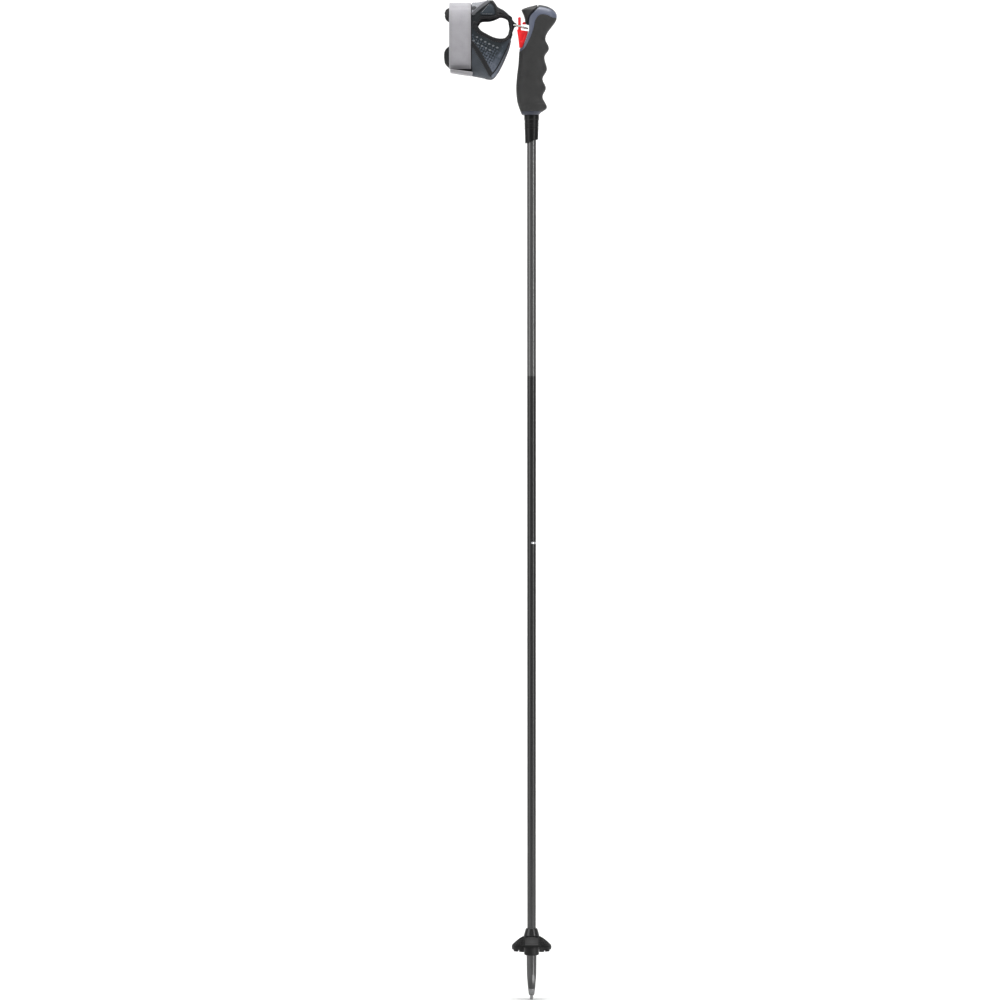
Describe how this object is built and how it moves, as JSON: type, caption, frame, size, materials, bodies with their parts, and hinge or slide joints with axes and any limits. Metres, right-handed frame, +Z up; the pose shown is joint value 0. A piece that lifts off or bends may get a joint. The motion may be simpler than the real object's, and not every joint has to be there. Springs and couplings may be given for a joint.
{
  "type": "ski pole",
  "caption": "Alpine ski pole: tapered tube, bell basket and hard-metal tip, trigger grip with release button, and a padded hand strap on a cord loop.",
  "frame": {"origin": "bottom end of the hard-metal tip, on the shaft's axis", "axes": "+Z up the shaft to the grip; -X to the hand-strap side, +X to the finger side of the grip; Y across the palm"},
  "size_m": [0.1377, 0.0576, 1.2058],
  "materials": {
    "shaft_grey": "satin anthracite lacquer turning near-black below",
    "plug_plastic": "matte",
    "tip_plastic": "satin black moulding",
    "steel": "turned",
    "hard_metal": "ground",
    "basket_plastic": "satin black moulding",
    "core_plastic": "blue-grey moulding",
    "grip_rubber": "matte soft over-moulding",
    "sleeve_rubber": "satin black",
    "pad_rubber": "matte black",
    "spring_steel": "drawn wire",
    "trigger_red": "satin bright red",
    "button_plastic": "matte charcoal",
    "loop_braid": "braided white cord with dark tracer",
    "anchor_fabric": "black webbing",
    "cuff_fabric": "padded near-black knit",
    "upper_fabric": "blue-grey mesh panel",
    "lower_fabric": "blue-grey perforated panel",
    "webbing_grey": "mid grey woven webbing",
    "keeper_fabric": "light grey folded webbing",
    "loop_pile": "loop pile",
    "hook_pile": "hook strip",
    "binding_fabric": "black edge binding",
    "tape_fabric": "dark welded tape",
    "piping_fabric": "black piping"
  },
  "bodies": {
    "pole": {"shaft_tube": "shaft_grey", "shaft_end_plug": "plug_plastic", "tip_ferrule": "tip_plastic", "tip_holder": "steel", "carbide_tip": "hard_metal", "basket": "basket_plastic", "grip_core": "core_plastic", "grip_cover": "grip_rubber", "grip_collar": "core_plastic", "grip_sleeve": "sleeve_rubber", "top_pad": "pad_rubber", "trigger_pin": "steel", "trigger_spring": "spring_steel", "button_pin": "steel", "button_spring": "spring_steel"},
    "trigger": {"trigger_lever": "trigger_red", "loop_post": "trigger_red"},
    "button": {"release_button": "button_plastic", "latch_nose": "trigger_red"},
    "strap_loop": {"loop_cord": "loop_braid"},
    "hand_strap": {"loop_anchor": "anchor_fabric", "wrist_cuff": "cuff_fabric", "strap_upper": "upper_fabric", "strap_lower": "lower_fabric", "closure_strap": "webbing_grey", "strap_keeper": "keeper_fabric", "loop_patch": "loop_pile", "hook_patch": "hook_pile", "thumb_binding": "binding_fabric", "seam_tape": "tape_fabric", "edge_piping": "piping_fabric"}
  },
  "joints": [
    {"name": "trigger_tilt", "type": "hinge", "parent": "pole", "child": "trigger", "pos_m": [-0.0129, 0, 1.1502], "axis": [0, -1, 0], "range_deg": [0, 22], "stiffness_Nm_per_rad": 0.5},
    {"name": "button_press", "type": "hinge", "parent": "pole", "child": "button", "pos_m": [0.0058, 0, 1.1892], "axis": [0, -1, 0], "range_deg": [0, 5], "stiffness_Nm_per_rad": 0.3},
    {"name": "loop_swivel", "type": "hinge", "parent": "trigger", "child": "strap_loop", "pos_m": [-0.0146, 0, 1.1744], "axis": [0, 0, 1], "range_deg": [-50, 50]},
    {"name": "strap_tilt", "type": "hinge", "parent": "strap_loop", "child": "hand_strap", "pos_m": [-0.0205, 0, 1.176], "axis": [0, -1, 0], "range_deg": [-40, 6]}
  ]
}
